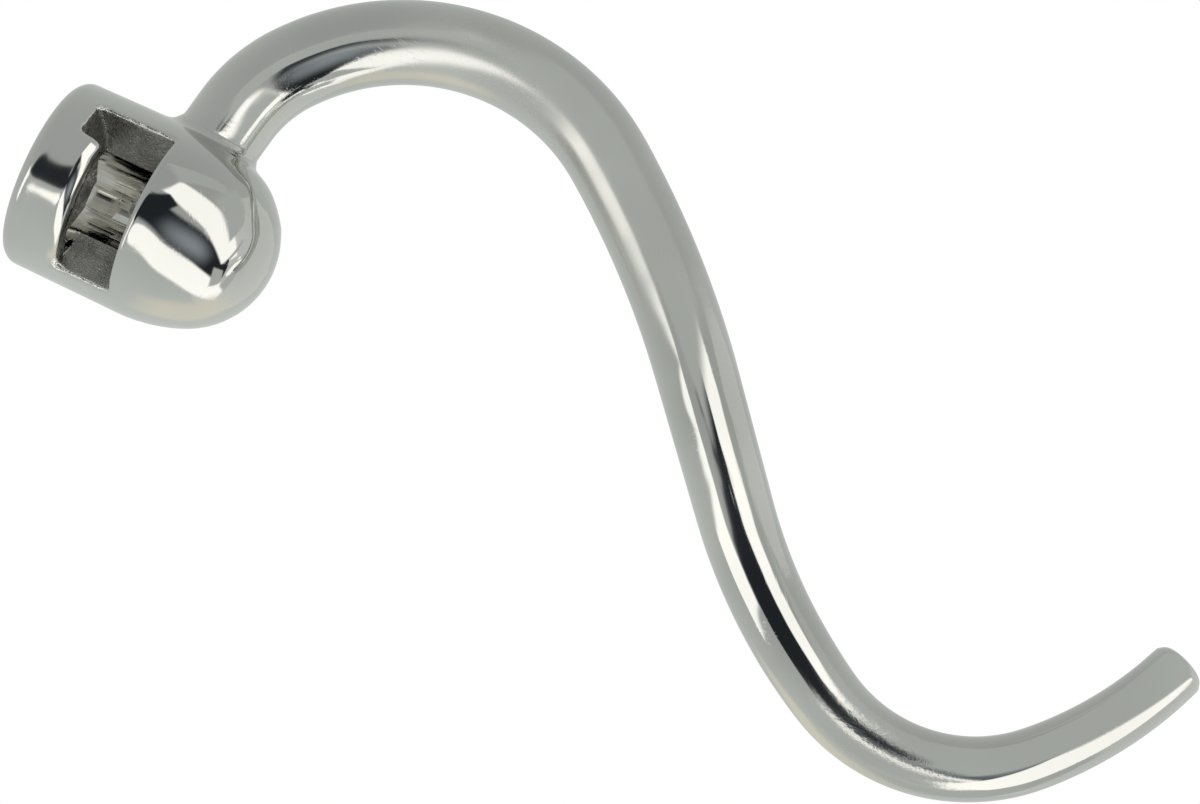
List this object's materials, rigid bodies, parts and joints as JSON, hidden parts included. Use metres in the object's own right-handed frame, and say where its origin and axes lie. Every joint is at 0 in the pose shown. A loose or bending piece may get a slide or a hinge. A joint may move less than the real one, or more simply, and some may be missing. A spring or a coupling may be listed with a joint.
{
  "type": "dough hook",
  "caption": "Dough hook for a stand mixer: a hub with a bore and bayonet slot for the drive shaft and its cross pin, and a tapered round rod bent into an S, cast whole in polished steel.",
  "frame": {"origin": "centre of the drive-shaft bore at its mouth, the hub's top face", "axes": "+Z along the bore, out of its mouth and up towards the mixer; the hook hangs below in -Z; the rod bends in the XZ plane and leaves the hub towards +X; the bayonet window faces -Y"},
  "size_m": [0.0794, 0.0292, 0.1838],
  "materials": {
    "polished_steel": "mirror-polished cast stainless steel, machined in the bore and left as cast inside the bayonet slot"
  },
  "bodies": {
    "root": {"dough_hook": "polished_steel"}
  },
  "joints": []
}
